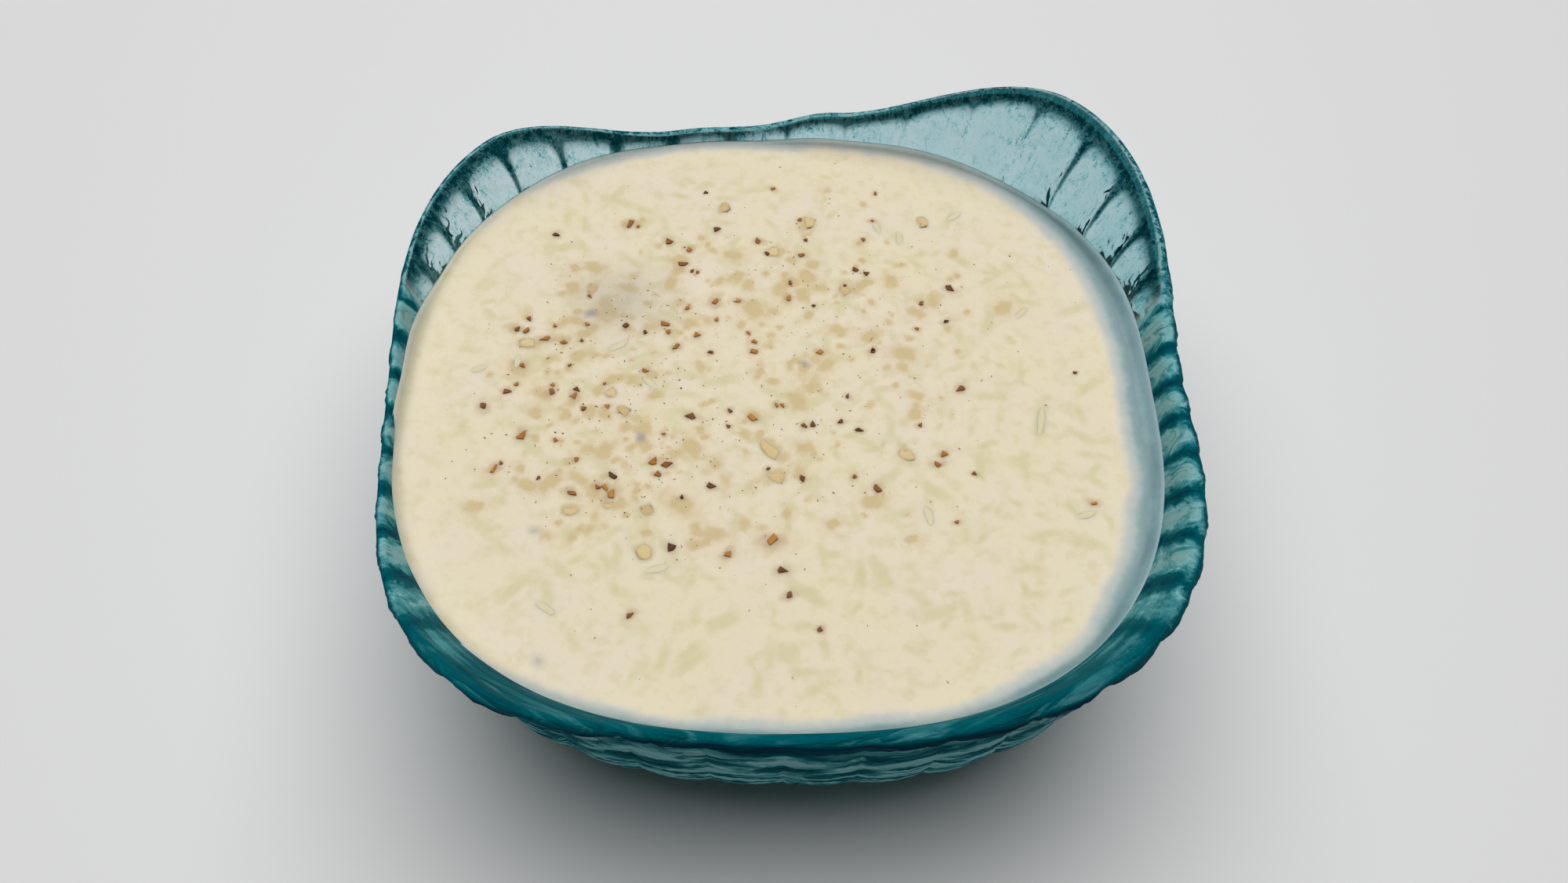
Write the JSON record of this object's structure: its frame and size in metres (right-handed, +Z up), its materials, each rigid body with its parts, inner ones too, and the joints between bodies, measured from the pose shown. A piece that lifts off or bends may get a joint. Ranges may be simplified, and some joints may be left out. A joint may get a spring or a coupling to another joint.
{
  "type": "rice pudding in a glass bowl",
  "caption": "Rice pudding in a square dessert bowl of pressed teal glass, with a fluted outside and a rim that rises at the corners.",
  "frame": {"origin": "middle of the flat foot that the bowl stands on", "axes": "+Z up, +X towards the side with the thicker wall, -Y towards whoever eats from it"},
  "size_m": [0.1289, 0.1282, 0.0513],
  "materials": {
    "teal_glass": "pressed glass, glossy and smooth inside, hammered and fluted outside",
    "rice_pudding": "cream, satin, with rice just under the surface",
    "cooked_rice": "soft and translucent",
    "chopped_nuts": "soaked nut, matte",
    "nut_skin": "brown skin, matte",
    "ground_spice": "dark specks, matte"
  },
  "bodies": {
    "root": {"bowl": "teal_glass", "pudding": "rice_pudding"}
  },
  "joints": []
}
